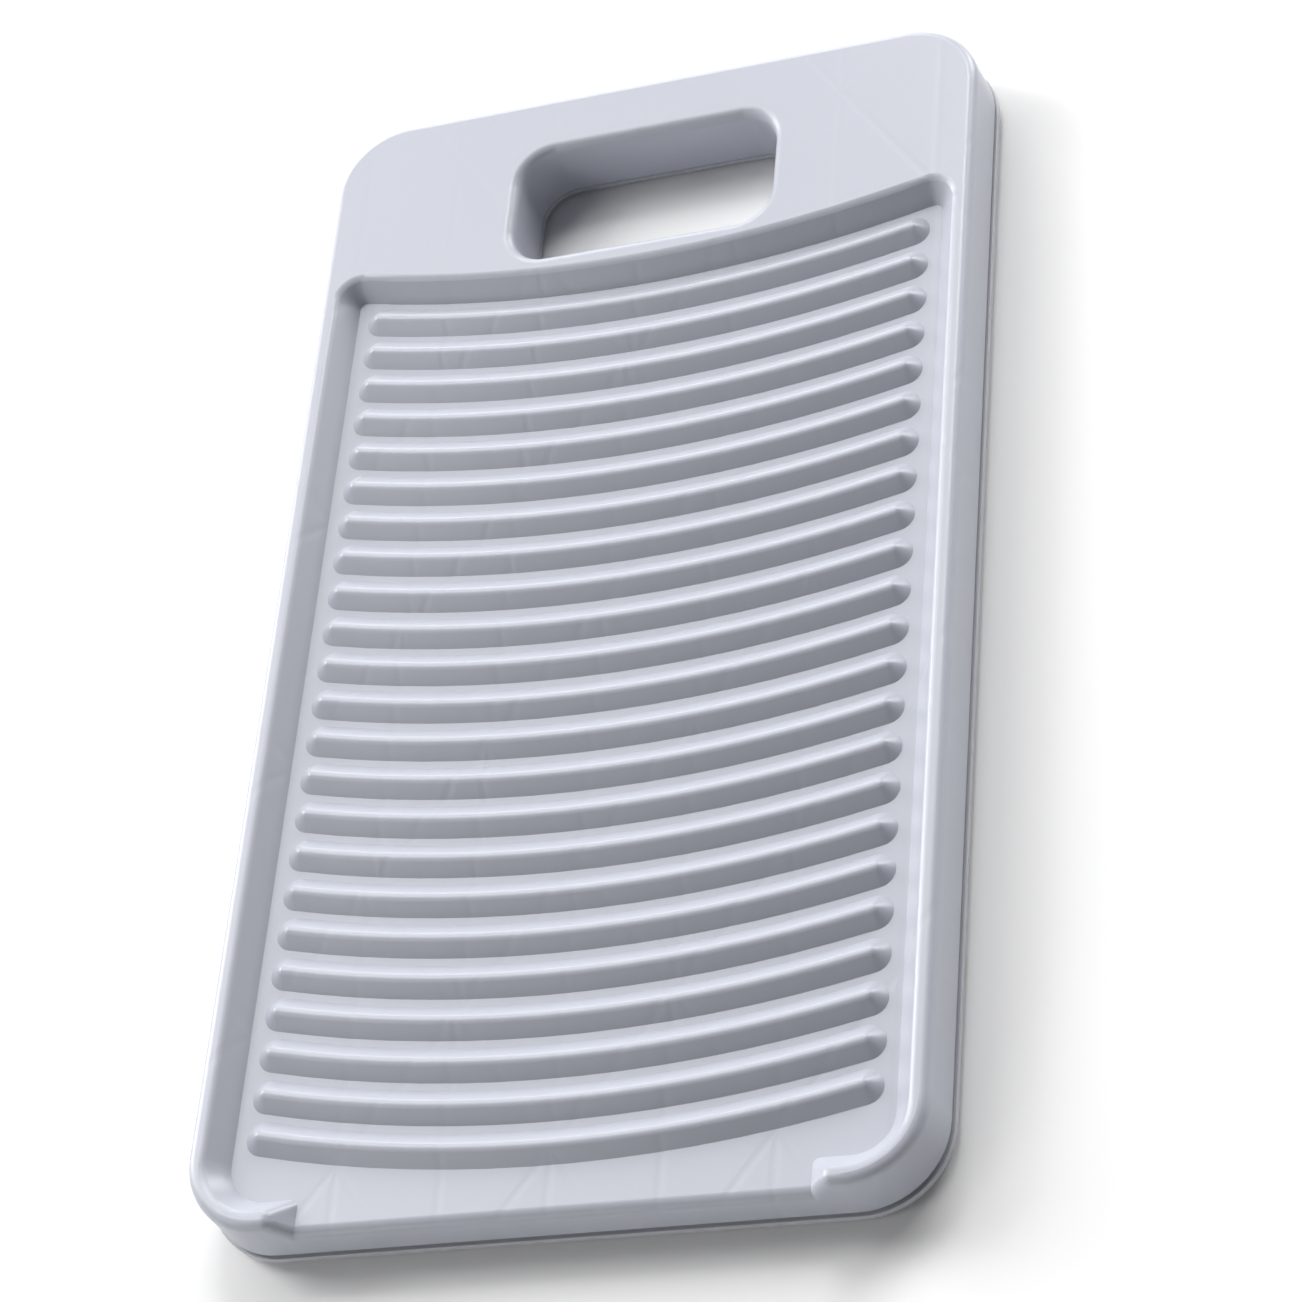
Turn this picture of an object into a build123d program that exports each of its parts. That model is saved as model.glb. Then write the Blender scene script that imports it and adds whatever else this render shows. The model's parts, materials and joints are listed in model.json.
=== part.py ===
from build123d import *
import math
import os

# A two-shell moulded plastic washboard lying on its back, washing side up.
# X runs across the board, +Y points to the handle end and +Z out of the washing side.
# The origin is under the middle of the board, on the plane that the feet rest on. Millimetres.

# Driving dimensions
BOARD_LENGTH = 498.0
BOARD_WIDTH = 281.0
BOARD_THICKNESS = 29.0
FOOT_PROUD = 1.5
WALL = 2.4

# Heights above the plane that the feet rest on
COVER_BOTTOM = FOOT_PROUD
COVER_PLATE_TOP = COVER_BOTTOM + 2.0
STRIP_TOP = COVER_BOTTOM + 4.8
SHELL_EDGE = STRIP_TOP + 1.6
PLATEAU = COVER_BOTTOM + BOARD_THICKNESS
RECESS_DEPTH = 8.6
FLOOR = PLATEAU - RECESS_DEPTH

# Outer outline, given as insets from the widest outline, which is the back cover's strip
CORNER_RADIUS = 32.0
SHELL_EDGE_INSET = 1.0
PLATEAU_INSET = 2.0
SHOULDER_RADIUS = 3.5
INNER_EDGE_RADIUS = 3.5

# Washing recess: a pocket with sloping sides, whose upper end follows the curve of the wash ribs
SLOPE_RUN = 7.3
RECESS_HALF_WIDTH = 124.7
RECESS_LOWER_END = -233.4
RECESS_LOWER_RADIUS = 15.0
RECESS_UPPER_RADIUS = 3.0
CURVE_RADIUS = 530.0
UPPER_WALL_FOOT = 148.8
DRAIN_HALF_WIDTH = 96.0
DRAIN_LIP_RADIUS = 4.5
STUB_EDGE_RADIUS = 4.0

# Wash ribs
RIB_COUNT = 23
RIB_PITCH = 16.4
FIRST_RIB_FOOT = 132.6
RIB_HALF_LENGTH = 120.0
RIB_WIDTH = 13.4
RIB_HEIGHT = 4.6
RIB_CREST_RADIUS = 3.2

# Handle opening
HANDLE_WIDTH = 111.0
HANDLE_HEIGHT = 54.0
HANDLE_CENTRE_Y = 192.5
HANDLE_RADIUS = 15.0
HANDLE_LIP_RADIUS = 4.2

# Stiffening lattice behind the skin
LATTICE_THICKNESS = 1.8
LATTICE_SPACING = 41.3
LATTICE_SLOPE = 1.345
LATTICE_CLEARANCE = 0.3
BAR_INSET = 6.4
BAR_GAP = 0.5

# Joint between the two shells
TONGUE_OUTER_INSET = 2.5
TONGUE_INNER_INSET = 3.4
STRIP_WALL_INSET = 2.4
RAIL_OUTER_INSET = 4.2
RAIL_THICKNESS = 1.6
RAIL_TOP = STRIP_TOP + 5.0
JOINT_CLEARANCE = 0.1
TUBE_GAP = 0.3
COLLAR_GAP = 0.3
COLLAR_THICKNESS = 1.8
COLLAR_TOP = COVER_PLATE_TOP + 6.0
COVER_EDGE_RADIUS = 3.0
STRIP_EDGE_RADIUS = 0.5
SNAP_LENGTH = 14.0
SNAP_PITCH = 80.0
SNAP_CLEARANCE = 0.2
SNAP_REACH = 1.1
SNAP_HEIGHT = 1.8
SNAP_Z = SHELL_EDGE + 1.4

# Push-in feet
FOOT_RADIUS = 11.0
FOOT_SEAT_DEPTH = 0.8
FOOT_STEM_RADIUS = 3.0
FOOT_BULB_RADIUS = 4.2
FOOT_CLEARANCE = 0.1
FOOT_EDGE_RADIUS = 0.7
FOOT_TOP = COVER_PLATE_TOP + 2.4
FOOT_X = 108.0
FOOT_Y = 214.0


def outline(inset, z):
    """The rounded rectangle of the board's outline, moved in by inset, as a face at height z."""
    sketch = RectangleRounded(
        BOARD_WIDTH - 2 * inset,
        BOARD_LENGTH - 2 * inset,
        CORNER_RADIUS - inset,
    )
    return Pos(0, 0, z) * sketch


def prism(inset, low, high):
    """The board's outline at one inset, standing from low to high."""
    return extrude(outline(inset, low), amount=high - low)


def ring(outer_inset, inner_inset, low, high):
    """A straight wall between two insets of the outline."""
    return prism(outer_inset, low, high) - prism(inner_inset, low - 1, high + 1)


def shell_inset(z):
    """Inset of the front shell's drafted outer wall at height z."""
    draft = (PLATEAU_INSET - SHELL_EDGE_INSET) / (PLATEAU - SHELL_EDGE)
    return SHELL_EDGE_INSET + draft * (z - SHELL_EDGE)


def drafted_block(extra_inset, low, high):
    """The front shell's outer form between two heights, moved in by extra_inset."""
    lower = outline(shell_inset(low) + extra_inset, low)
    upper = outline(shell_inset(high) + extra_inset, high)
    return loft([lower, upper], ruled=True)


def handle_prism(grow, low, high):
    """The handle opening, grown all round, from low to high."""
    sketch = RectangleRounded(
        HANDLE_WIDTH + 2 * grow,
        HANDLE_HEIGHT + 2 * grow,
        HANDLE_RADIUS + grow,
    )
    return extrude(Pos(0, HANDLE_CENTRE_Y, low) * sketch, amount=high - low)


def curve_y(foot_y, x):
    """Y at x on the sagging curve whose lowest point is at foot_y."""
    return foot_y + CURVE_RADIUS - math.sqrt(CURVE_RADIUS**2 - x**2)


def recess_outline(grow, z):
    """Outline of the washing recess at height z: straight sides, rounded lower end, curved upper end."""
    side = RECESS_HALF_WIDTH + grow
    low = RECESS_LOWER_END - grow
    centre = (0, UPPER_WALL_FOOT + CURVE_RADIUS)
    arc_radius = CURVE_RADIUS - grow
    top = centre[1] - math.sqrt(arc_radius**2 - side**2)
    upper_edge = ThreePointArc((-side, top), (0, centre[1] - arc_radius), (side, top))
    sides = Polyline((side, top), (side, low), (-side, low), (-side, top))
    face = make_face([upper_edge, sides])
    upper_corners = face.vertices().sort_by(Axis.Y)[2:]
    face = fillet(upper_corners, RECESS_UPPER_RADIUS + grow)
    lower_corners = face.vertices().sort_by(Axis.Y)[:2]
    face = fillet(lower_corners, RECESS_LOWER_RADIUS + grow)
    return Pos(0, 0, z) * face


def recess_block(grow_at_floor, low, high):
    """The recess's sloping pocket between two heights, its outline grown by grow_at_floor at floor level."""
    slope = SLOPE_RUN / RECESS_DEPTH
    lower = recess_outline(grow_at_floor + slope * (low - FLOOR), low)
    upper = recess_outline(grow_at_floor + slope * (high - FLOOR), high)
    return loft([lower, upper], ruled=True)


def drain_outline(grow, z):
    """Plan of the drain gap between the stubs at height z, running out past the lower end of the board."""
    half = DRAIN_HALF_WIDTH + grow
    depth = 40.0
    return Pos(0, RECESS_LOWER_END + 10.0 - depth / 2, z) * Rectangle(2 * half, depth)


def drain_block(grow_at_floor, low, high):
    """The drain gap with sloping ends, between two heights."""
    slope = SLOPE_RUN / RECESS_DEPTH
    lower = drain_outline(grow_at_floor + slope * (low - FLOOR), low)
    upper = drain_outline(grow_at_floor + slope * (high - FLOOR), high)
    return loft([lower, upper], ruled=True)


def rib_half_section():
    """Half of a wash rib's section from its crest line outwards: x is the distance from the crest line."""
    half = RIB_WIDTH / 2
    crest_centre = RIB_HEIGHT - RIB_CREST_RADIUS
    reach = math.hypot(half, crest_centre)
    side_angle = math.atan2(crest_centre, half) + math.asin(RIB_CREST_RADIUS / reach)
    tangent_x = RIB_CREST_RADIUS * math.sin(side_angle)
    tangent_z = crest_centre + RIB_CREST_RADIUS * math.cos(side_angle)
    mid_x = RIB_CREST_RADIUS * math.sin(side_angle / 2)
    mid_z = crest_centre + RIB_CREST_RADIUS * math.cos(side_angle / 2)
    root = -0.5
    crest = ThreePointArc((0, RIB_HEIGHT), (mid_x, mid_z), (tangent_x, tangent_z))
    rest = Polyline((tangent_x, tangent_z), (half, 0), (half, root), (0, root), (0, RIB_HEIGHT))
    return make_face([crest, rest])


def wash_rib(foot_y, base_z):
    """One curved wash rib standing on base_z, with domed ends. foot_y is its lower foot at mid-width."""
    crest_radius = CURVE_RADIUS - RIB_WIDTH / 2
    centre_y = foot_y + CURVE_RADIUS
    sweep = math.degrees(math.asin((RIB_HALF_LENGTH - RIB_WIDTH / 2) / crest_radius))
    half_section = rib_half_section()
    section = half_section + mirror(half_section, about=Plane.YZ)
    upright = Plane(origin=(0, foot_y + RIB_WIDTH / 2, base_z), x_dir=(0, 1, 0), z_dir=(1, 0, 0))
    centre_axis = Axis((0, centre_y, 0), (0, 0, 1))
    body = revolve((upright * section).rotate(centre_axis, -sweep), axis=centre_axis, revolution_arc=2 * sweep)
    for side in (-1, 1):
        angle = math.radians(side * sweep)
        end = (crest_radius * math.sin(angle), centre_y - crest_radius * math.cos(angle), base_z)
        dome = revolve(Plane(origin=end, x_dir=(1, 0, 0), z_dir=(0, -1, 0)) * half_section, axis=Axis(end, (0, 0, 1)))
        body += dome
    return body


def rib_feet():
    """Y of each wash rib's lower foot at mid-width, from the handle end down."""
    return [FIRST_RIB_FOOT - RIB_PITCH * number for number in range(RIB_COUNT)]


def lattice():
    """Stiffening bars for the back of the skin: five long ones and a diamond of diagonals, untrimmed."""
    low = COVER_PLATE_TOP + LATTICE_CLEARANCE
    height = PLATEAU - low
    mid_z = low + height / 2
    bars = []
    for column in range(-2, 3):
        bar = Box(LATTICE_THICKNESS, BOARD_LENGTH, height)
        bars.append(Pos(column * LATTICE_SPACING, 0, mid_z) * bar)
    step = 2 * LATTICE_SPACING * LATTICE_SLOPE
    lean = math.degrees(math.atan(LATTICE_SLOPE))
    reach = 2 * BOARD_WIDTH
    for row in range(-3, 4):
        for side in (-1, 1):
            bar = Box(reach, LATTICE_THICKNESS, height)
            bars.append(Pos(0, row * step, mid_z) * (Rot(0, 0, side * lean) * bar))
    return Part() + bars


def outer_form():
    """The front shell's solid outer form: drafted walls, rounded shoulder, recess, drain gap and wash ribs."""
    form = drafted_block(0, SHELL_EDGE, PLATEAU)
    shoulder = form.faces().sort_by(Axis.Z)[-1].edges()
    form = fillet(shoulder, SHOULDER_RADIUS)
    form -= recess_block(0, FLOOR, PLATEAU + 1)
    rim = form.faces().sort_by(Axis.Z)[-1].inner_wires()[0].edges()
    form = fillet(rim, INNER_EDGE_RADIUS)
    form -= drain_block(0, FLOOR, PLATEAU + 1)
    form = fillet(drain_lip(form), DRAIN_LIP_RADIUS)
    form = fillet(stub_end_edges(form), STUB_EDGE_RADIUS)
    return form


def drain_lip(form):
    """The edge where the recess floor runs out over the lower wall, between the stubs."""
    wall_y = shell_inset(FLOOR) - BOARD_LENGTH / 2
    return [
        edge
        for edge in form.edges()
        if abs(edge.center().Z - FLOOR) < 0.01 and abs(edge.center().Y - wall_y) < 0.02
    ]


def stub_end_edges(form):
    """The convex edges round the two stub ends that face each other across the drain gap."""
    slope = SLOPE_RUN / RECESS_DEPTH
    found = []
    for edge in form.edges():
        middle = edge.center()
        end_x = DRAIN_HALF_WIDTH + slope * (middle.Z - FLOOR)
        in_end = abs(abs(middle.X) - end_x) < 1.3 and abs(middle.X) < DRAIN_HALF_WIDTH + SLOPE_RUN + 1.2
        if in_end and middle.Y < RECESS_LOWER_END - 1.0 and middle.Z > FLOOR + 0.5:
            found.append(edge)
    return found


def skin_space():
    """The hollow behind the front shell's skin, with the wash ribs cored out and the handle tube left."""
    slope = SLOPE_RUN / RECESS_DEPTH
    grow = WALL * (math.hypot(1, slope) - slope)
    space = drafted_block(WALL, SHELL_EDGE - 1, PLATEAU - WALL)
    space -= recess_block(grow + slope * WALL, FLOOR - WALL, PLATEAU)
    space -= drain_block(grow + slope * WALL, FLOOR - WALL, PLATEAU)
    space += [wash_rib(foot_y, FLOOR - WALL) for foot_y in rib_feet()]
    return space - handle_prism(WALL, 0, PLATEAU)


def trimmed_lattice(space):
    """The lattice inside the hollow and down to the cover, clear of the cover's rail, collar and feet."""
    below = prism(BAR_INSET, COVER_PLATE_TOP, SHELL_EDGE) - handle_prism(WALL + COLLAR_GAP, 0, PLATEAU)
    bars = lattice() & (space + below)
    bars -= ring(0, BAR_INSET, COVER_PLATE_TOP, RAIL_TOP + BAR_GAP)
    collar_reach = WALL + COLLAR_GAP + COLLAR_THICKNESS + BAR_GAP
    bars -= handle_prism(collar_reach, 0, COLLAR_TOP + BAR_GAP) - handle_prism(0, 0, COLLAR_TOP + BAR_GAP)
    for x, y in foot_places().values():
        bars -= Pos(x, y, 0) * Cylinder(FOOT_BULB_RADIUS + 1.5, 2 * FOOT_TOP + 2)
    return bars


def snap_places():
    """Middle and long direction of each snap bump along the rail."""
    side_x = BOARD_WIDTH / 2 - RAIL_OUTER_INSET
    end_y = BOARD_LENGTH / 2 - RAIL_OUTER_INSET
    places = []
    for side in (-1, 1):
        for row in range(-2, 3):
            places.append((side * side_x, row * SNAP_PITCH, "Y"))
        for column in (-1, 0, 1):
            places.append((column * SNAP_PITCH, side * end_y, "X"))
    return places


def snaps(extra):
    """The snap bumps, or with extra clearance the pockets that they click into."""
    length = SNAP_LENGTH + 2 * extra
    depth = 2 * (SNAP_REACH + extra)
    height = SNAP_HEIGHT + 2 * extra
    blocks = []
    for x, y, direction in snap_places():
        size = (depth, length) if direction == "Y" else (length, depth)
        blocks.append(Pos(x, y, SNAP_Z) * Box(size[0], size[1], height))
    return blocks


def front_shell():
    """The visible moulding, with its hollow back, tongue, handle tube and stiffening lattice."""
    shell = outer_form() + [wash_rib(foot_y, FLOOR) for foot_y in rib_feet()]
    space = skin_space()
    shell -= space
    shell += ring(TONGUE_OUTER_INSET, TONGUE_INNER_INSET, COVER_PLATE_TOP + JOINT_CLEARANCE, SHELL_EDGE + 0.5)
    tube_bottom = COVER_PLATE_TOP + TUBE_GAP
    shell += handle_prism(WALL, tube_bottom, PLATEAU - 1)
    shell += trimmed_lattice(space)
    shell -= snaps(SNAP_CLEARANCE)
    shell -= handle_prism(0, 0, PLATEAU + 1)
    plateau_face = shell.faces().filter_by(Axis.Z).sort_by(Axis.Z)[-1]
    lip = plateau_face.inner_wires().sort_by(Axis.Y)[-1].edges()
    return fillet(lip, HANDLE_LIP_RADIUS)


def foot_places():
    """Plan position of each foot, by node name."""
    places = {}
    for row, y in (("upper", FOOT_Y), ("middle", 0.0), ("lower", -FOOT_Y)):
        for side, x in (("left", -FOOT_X), ("right", FOOT_X)):
            places[f"foot_{row}_{side}"] = (x, y)
    return places


def back_cover():
    """The closed back: a plate with the visible strip round it, a rail with snaps, and a collar."""
    cover = prism(0, COVER_BOTTOM, STRIP_TOP)
    cover = fillet(cover.edges().group_by(Axis.Z)[0], COVER_EDGE_RADIUS)
    cover = fillet(cover.faces().sort_by(Axis.Z)[-1].edges(), STRIP_EDGE_RADIUS)
    cover -= prism(STRIP_WALL_INSET, COVER_PLATE_TOP, STRIP_TOP + 1)
    rail_inner_inset = RAIL_OUTER_INSET + RAIL_THICKNESS
    cover += ring(RAIL_OUTER_INSET, rail_inner_inset, COVER_PLATE_TOP, RAIL_TOP)
    bumps = Part() + snaps(0)
    cover += bumps - prism(rail_inner_inset - 0.2, 0, PLATEAU)
    collar_inside = WALL + COLLAR_GAP
    cover += handle_prism(collar_inside + COLLAR_THICKNESS, COVER_PLATE_TOP, COLLAR_TOP)
    cover -= handle_prism(collar_inside, COVER_PLATE_TOP, COLLAR_TOP + 1)
    cover -= handle_prism(0, 0, PLATEAU)
    seat_top = COVER_BOTTOM + FOOT_SEAT_DEPTH
    for x, y in foot_places().values():
        cover -= Pos(x, y, seat_top / 2) * Cylinder(FOOT_RADIUS + FOOT_CLEARANCE, seat_top)
        cover -= Pos(x, y, 0) * Cylinder(FOOT_STEM_RADIUS + FOOT_CLEARANCE, 2 * STRIP_TOP)
    return cover


def foot(x, y):
    """A rubber foot: a disc in its seat, a stem through the cover's plate and a bulb that holds it."""
    seat_top = COVER_BOTTOM + FOOT_SEAT_DEPTH
    bulb_low = COVER_PLATE_TOP + JOINT_CLEARANCE
    profile = Polyline(
        (0, 0),
        (FOOT_RADIUS, 0),
        (FOOT_RADIUS, seat_top),
        (FOOT_STEM_RADIUS, seat_top),
        (FOOT_STEM_RADIUS, bulb_low),
        (FOOT_BULB_RADIUS, bulb_low),
        (FOOT_STEM_RADIUS, FOOT_TOP),
        (0, FOOT_TOP),
        (0, 0),
    )
    body = revolve(Plane.XZ * make_face(profile), axis=Axis.Z)
    body = fillet(body.edges().group_by(Axis.Z)[0], FOOT_EDGE_RADIUS)
    return Pos(x, y, 0) * body


os.makedirs("parts", exist_ok=True)
export_step(front_shell(), "parts/front_shell.step")
export_step(back_cover(), "parts/back_cover.step")
for name, (foot_x, foot_y) in foot_places().items():
    export_step(foot(foot_x, foot_y), f"parts/{name}.step")
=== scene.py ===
"""Looks of a flat plastic washboard: camera, light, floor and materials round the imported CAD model."""

import json
import math

import bpy
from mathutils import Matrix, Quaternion, Vector

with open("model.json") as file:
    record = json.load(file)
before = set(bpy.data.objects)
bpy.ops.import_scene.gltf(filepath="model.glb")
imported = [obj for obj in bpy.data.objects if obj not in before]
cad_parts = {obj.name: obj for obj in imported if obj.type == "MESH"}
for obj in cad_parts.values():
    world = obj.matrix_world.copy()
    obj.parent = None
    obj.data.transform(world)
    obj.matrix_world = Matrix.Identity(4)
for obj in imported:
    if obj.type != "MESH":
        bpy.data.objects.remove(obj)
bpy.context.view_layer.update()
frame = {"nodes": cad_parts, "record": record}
nodes = frame["nodes"]

# The camera looks down on the washing face from the right of the lower end, in metres and degrees.
CAMERA_AIM = Vector((0.0234, -0.02975, 0.0305))
CAMERA_DISTANCE = 1.3576
CAMERA_AZIMUTH = 34.33
CAMERA_ELEVATION = 51.45
CAMERA_ROLL = -35.71
LENS_MM = 102.24
SENSOR_MM = 36.0

# Light: each softbox is (name, azimuth, elevation, width, height, strength), and they all face the board.
# Azimuth is turned from +X towards +Y. Strength is the brightness that the softbox alone gives a white
# surface that faces it.
BOARD_MIDDLE = Vector((0.0, 0.0, 0.03))
SOFTBOX_DISTANCE = 5.0
SOFTBOXES = (
    ("softbox_right", 60.0, 19.0, 2.0, 2.8, 0.68),
    ("softbox_left", 156.0, 25.0, 2.0, 3.6, 0.84),
    ("softbox_back_high", 88.0, 48.0, 1.8, 1.8, 0.47),
    ("softbox_mirror", 138.0, 54.0, 2.4, 2.4, 0.31),
    ("softbox_back_low", 108.0, 19.0, 2.0, 1.8, 0.21),
    ("softbox_front", 240.0, 15.0, 1.8, 1.8, 0.13),
    ("softbox_front_left", 210.0, 39.0, 2.2, 2.2, 0.17),
)
HORIZON_STRENGTH = 0.65
HORIZON_FADE_FROM = 0.05
HORIZON_FADE_TO = 0.6

FLOOR_SIZE = 12.0
FLOOR_COLOUR = (0.86, 0.86, 0.86)

SHELL_COLOUR = (0.408, 0.424, 0.478)
# Painted light: the cover is the same plastic as the shell, painted a little lighter and less blue so that
# its thin rim shows the brightness it gets beside the white floor.
COVER_COLOUR_WITH_PAINTED_LIGHT = (0.425, 0.434, 0.466)
FEET_COLOUR = (0.11, 0.113, 0.12)

# Plastic skin: scales are per metre, and depths are in metres.
PLASTIC_ROUGHNESS = 0.33
GLOSS_SWING = 0.025
GLOSS_SCALE = 30.0
CLOUD_SCALE = 9.0
CLOUD_SWING = 0.02
SPECK_SCALE = 900.0
SPECK_SWING = 0.01
WAVE_SCALE = 14.0
WAVE_SWING = 0.00006
GRAIN_SCALE = 2600.0
GRAIN_SWING = 0.0000012

# Rubber of the feet, and the floor's paper
PAPER_ROUGHNESS = 0.9
RUBBER_ROUGHNESS = 0.75
RUBBER_GLOSS_SWING = 0.1
RUBBER_GRAIN_SWING = 0.00001

# Sink marks over the stiffening bars of the front shell, in metres
LATTICE_SPACING = 0.0413
LATTICE_SLOPE = 1.345
SINK_HALF_WIDTH = 0.0026
SINK_DEPTH = 0.00006


class Tree:
    """A material's node tree, with short ways to add and join nodes."""

    def __init__(self, name, colour, roughness):
        self.material = bpy.data.materials.new(name)
        self.material.use_nodes = True
        self.tree = self.material.node_tree
        self.shader = self.tree.nodes["Principled BSDF"]
        self.shader.inputs["Base Color"].default_value = (*colour, 1.0)
        self.shader.inputs["Roughness"].default_value = roughness

    def add(self, kind, **inputs):
        """A new node. Each input is named as its socket, with _ for a space, and is a number or a socket."""
        node = self.tree.nodes.new(kind)
        for key, value in inputs.items():
            self.feed(node.inputs[key.replace("_", " ")], value)
        return node

    def feed(self, socket, value):
        """Sets a socket to a number, or joins it to another socket."""
        if isinstance(value, bpy.types.NodeSocket):
            self.tree.links.new(value, socket)
        else:
            socket.default_value = value

    def math(self, operation, first, second=None, third=None):
        """The result socket of a Math node."""
        node = self.tree.nodes.new("ShaderNodeMath")
        node.operation = operation
        for socket, value in zip(node.inputs, (first, second, third)):
            if value is not None:
                self.feed(socket, value)
        return node.outputs[0]

    def noise(self, place, scale, detail=2.0, roughness=0.5):
        """The factor socket of a Noise Texture, about 0.5 on average."""
        node = self.add("ShaderNodeTexNoise", Vector=place, Scale=scale, Detail=detail, Roughness=roughness)
        return node.outputs["Fac"]

    def swing(self, value, amount, middle=0.0):
        """Turns a noise value, 0.5 on average, into middle plus or minus about half of amount."""
        return self.math("MULTIPLY_ADD", value, 2 * amount, middle - amount)


def line_dip(tree, across, spacing):
    """1 along evenly spaced lines and 0 away from them. across is the distance from the middle line."""
    to_line = tree.math("PINGPONG", across, spacing / 2)
    node = tree.add("ShaderNodeMapRange", Value=to_line, From_Min=0.0, From_Max=SINK_HALF_WIDTH)
    node.interpolation_type = "SMOOTHSTEP"
    node.inputs["To Min"].default_value = 1.0
    node.inputs["To Max"].default_value = 0.0
    return node.outputs["Result"]


def sink_marks(tree, place):
    """Height in metres of the faint sink marks over the stiffening bars behind the skin."""
    split = tree.add("ShaderNodeSeparateXYZ", Vector=place)
    x = split.outputs["X"]
    y = split.outputs["Y"]
    long_bars = line_dip(tree, x, LATTICE_SPACING)
    run = math.hypot(1.0, LATTICE_SLOPE)
    diagonals = []
    for side in (-1.0, 1.0):
        rise = tree.math("MULTIPLY_ADD", x, side * LATTICE_SLOPE, y)
        across = tree.math("DIVIDE", rise, run)
        diagonals.append(line_dip(tree, across, 2 * LATTICE_SPACING * LATTICE_SLOPE / run))
    crossed = tree.math("MAXIMUM", diagonals[0], diagonals[1])
    marks = tree.math("MAXIMUM", long_bars, crossed)
    return tree.math("MULTIPLY", marks, -SINK_DEPTH)


def plastic(name, colour, marked):
    """Semi-gloss moulded polypropylene: cloudy colour, uneven gloss, a slightly wavy skin and fine grain."""
    tree = Tree(name, colour, PLASTIC_ROUGHNESS)
    place = tree.add("ShaderNodeTexCoord").outputs["Object"]
    cloud = tree.swing(tree.noise(place, CLOUD_SCALE, 1.0), CLOUD_SWING, 1.0)
    speck = tree.swing(tree.noise(place, SPECK_SCALE), SPECK_SWING)
    base = tree.add("ShaderNodeVectorMath", Vector=colour)
    base.operation = "SCALE"
    tree.feed(base.inputs["Scale"], tree.math("ADD", cloud, speck))
    tree.feed(tree.shader.inputs["Base Color"], base.outputs["Vector"])
    patches = tree.noise(place, GLOSS_SCALE, 1.0)
    tree.feed(tree.shader.inputs["Roughness"], tree.swing(patches, GLOSS_SWING, PLASTIC_ROUGHNESS))
    wave = tree.swing(tree.noise(place, WAVE_SCALE, 0.0), WAVE_SWING)
    grain = tree.swing(tree.noise(place, GRAIN_SCALE), GRAIN_SWING)
    height = tree.math("ADD", wave, grain)
    if marked:
        height = tree.math("ADD", height, sink_marks(tree, place))
    bump = tree.add("ShaderNodeBump", Strength=1.0, Distance=1.0, Height=height)
    tree.feed(tree.shader.inputs["Normal"], bump.outputs["Normal"])
    return tree.material


def rubber(name, colour):
    """Matt moulded rubber with a fine grain."""
    tree = Tree(name, colour, RUBBER_ROUGHNESS)
    place = tree.add("ShaderNodeTexCoord").outputs["Object"]
    patches = tree.noise(place, GLOSS_SCALE)
    tree.feed(tree.shader.inputs["Roughness"], tree.swing(patches, RUBBER_GLOSS_SWING, RUBBER_ROUGHNESS))
    grain = tree.swing(tree.noise(place, GRAIN_SCALE), RUBBER_GRAIN_SWING)
    bump = tree.add("ShaderNodeBump", Strength=1.0, Distance=1.0, Height=grain)
    tree.feed(tree.shader.inputs["Normal"], bump.outputs["Normal"])
    return tree.material


def paper(name, colour):
    """Matt studio paper."""
    return Tree(name, colour, PAPER_ROUGHNESS).material


def coat_nodes():
    """Gives every CAD node its finished material."""
    finishes = {
        "shell": plastic("shell_plastic", SHELL_COLOUR, marked=True),
        "cover": plastic("cover_plastic_painted_light", COVER_COLOUR_WITH_PAINTED_LIGHT, marked=False),
        "feet": rubber("foot_rubber", FEET_COLOUR),
    }
    for entry in frame["record"]["subparts"]:
        node = nodes[entry["node"]]
        for slot in node.material_slots:
            slot.material = finishes[entry["material_slot"]]


def make_floor():
    """A plain pale floor that the board lies on."""
    half = FLOOR_SIZE / 2
    mesh = bpy.data.meshes.new("floor")
    corners = [(-half, -half, 0), (half, -half, 0), (half, half, 0), (-half, half, 0)]
    mesh.from_pydata(corners, [], [(0, 1, 2, 3)])
    floor = bpy.data.objects.new("floor", mesh)
    bpy.context.scene.collection.objects.link(floor)
    mesh.materials.append(paper("floor_paper", FLOOR_COLOUR))


def direction(azimuth, elevation):
    """Unit vector at an azimuth, turned from +X towards +Y, and an elevation, both in degrees."""
    turn = math.radians(azimuth)
    rise = math.radians(elevation)
    return Vector((math.cos(turn) * math.cos(rise), math.sin(turn) * math.cos(rise), math.sin(rise)))


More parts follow.
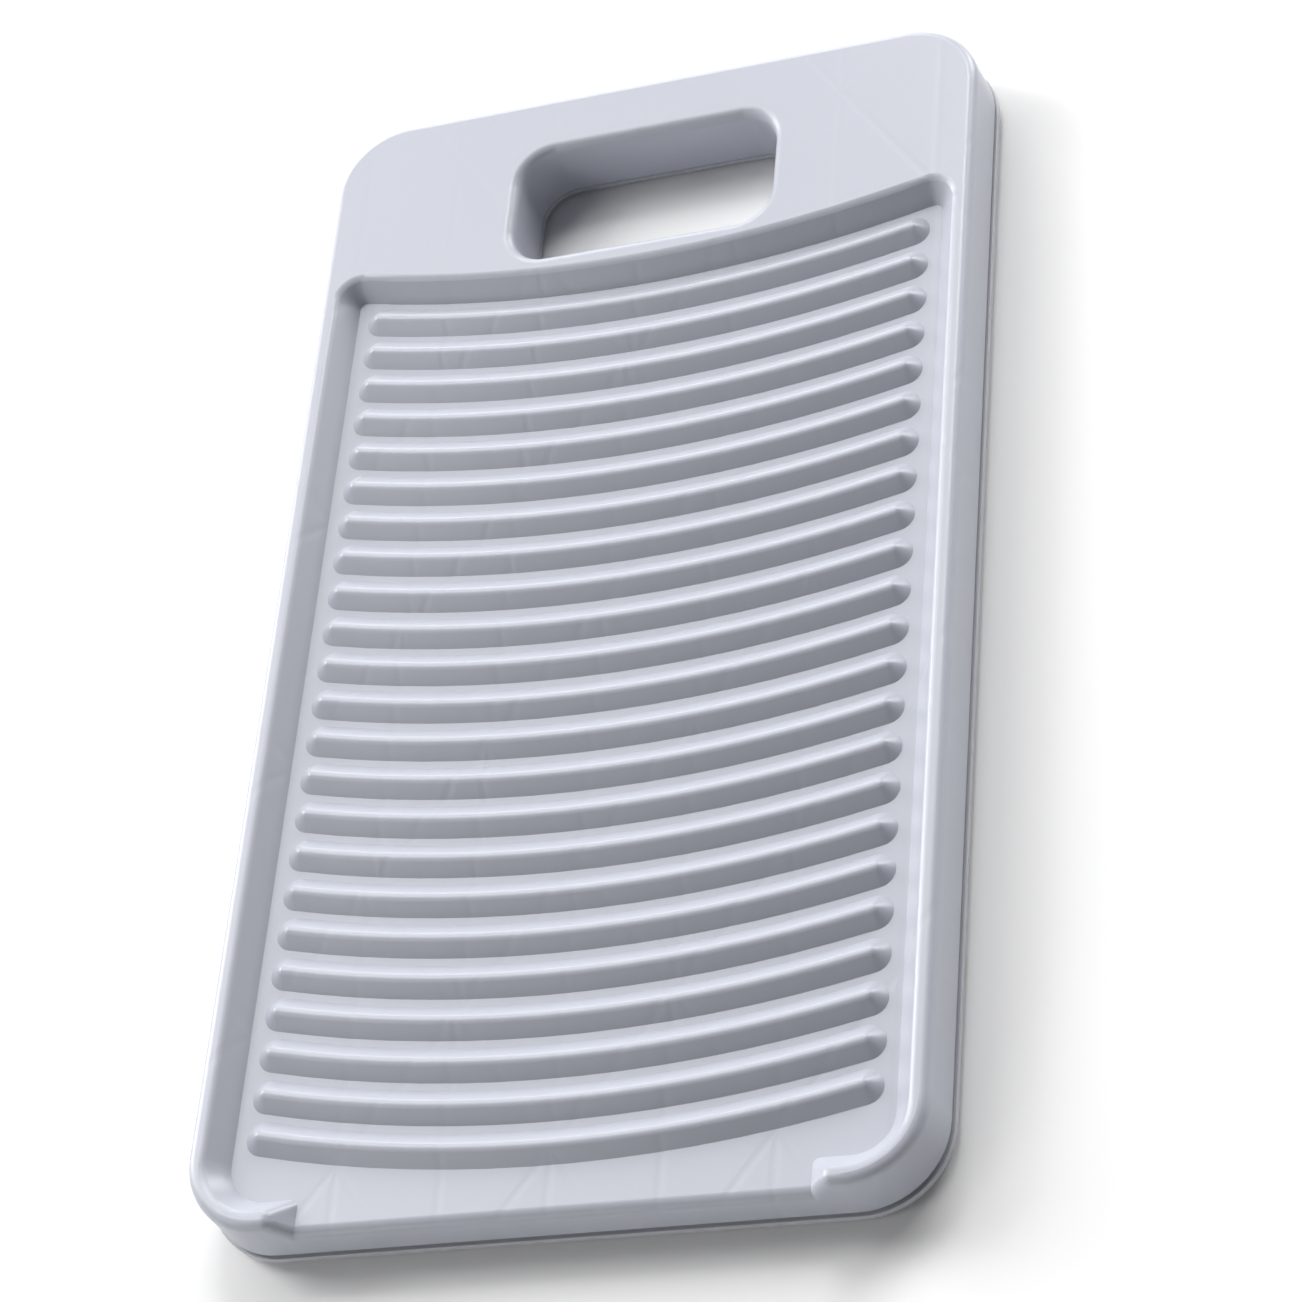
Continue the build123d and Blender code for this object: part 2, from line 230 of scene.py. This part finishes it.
def make_softbox(name, azimuth, elevation, width, height, strength):
    """A rectangular area light that faces the middle of the board and is hidden from the camera."""
    light = bpy.data.lights.new(name, "AREA")
    light.shape = "RECTANGLE"
    light.size = width
    light.size_y = height
    light.energy = strength * (math.pi * SOFTBOX_DISTANCE) ** 2
    towards = direction(azimuth, elevation)
    lamp = bpy.data.objects.new(name, light)
    lamp.location = BOARD_MIDDLE + towards * SOFTBOX_DISTANCE
    lamp.rotation_mode = "QUATERNION"
    lamp.rotation_quaternion = (-towards).to_track_quat("-Z", "Y")
    lamp.visible_camera = False
    bpy.context.scene.collection.objects.link(lamp)


def make_world():
    """A white studio whose walls are bright at the horizon and fade out overhead."""
    world = bpy.data.worlds.new("studio")
    bpy.context.scene.world = world
    world.use_nodes = True
    tree = world.node_tree
    background = tree.nodes["Background"]
    background.inputs["Color"].default_value = (1.0, 1.0, 1.0, 1.0)
    place = tree.nodes.new("ShaderNodeTexCoord")
    split = tree.nodes.new("ShaderNodeSeparateXYZ")
    fade = tree.nodes.new("ShaderNodeMapRange")
    fade.interpolation_type = "SMOOTHSTEP"
    fade.inputs["From Min"].default_value = HORIZON_FADE_FROM
    fade.inputs["From Max"].default_value = HORIZON_FADE_TO
    fade.inputs["To Min"].default_value = HORIZON_STRENGTH
    fade.inputs["To Max"].default_value = 0.0
    tree.links.new(place.outputs["Generated"], split.inputs["Vector"])
    tree.links.new(split.outputs["Z"], fade.inputs["Value"])
    tree.links.new(fade.outputs["Result"], background.inputs["Strength"])


def make_camera():
    """The camera, aimed at the board's face and rolled as the view is."""
    azimuth = math.radians(CAMERA_AZIMUTH)
    elevation = math.radians(CAMERA_ELEVATION)
    level = math.cos(elevation)
    back = Vector((math.sin(azimuth) * level, -math.cos(azimuth) * level, math.sin(elevation)))
    data = bpy.data.cameras.new("camera")
    data.lens = LENS_MM
    data.sensor_width = SENSOR_MM
    camera = bpy.data.objects.new("camera", data)
    camera.location = CAMERA_AIM + back * CAMERA_DISTANCE
    camera.rotation_mode = "QUATERNION"
    roll = Quaternion((0, 0, 1), math.radians(CAMERA_ROLL))
    camera.rotation_quaternion = (-back).to_track_quat("-Z", "Y") @ roll
    bpy.context.scene.collection.objects.link(camera)
    bpy.context.scene.camera = camera


coat_nodes()
make_floor()
for softbox in SOFTBOXES:
    make_softbox(*softbox)
make_world()
make_camera()
bpy.context.scene.view_settings.view_transform = "Standard"
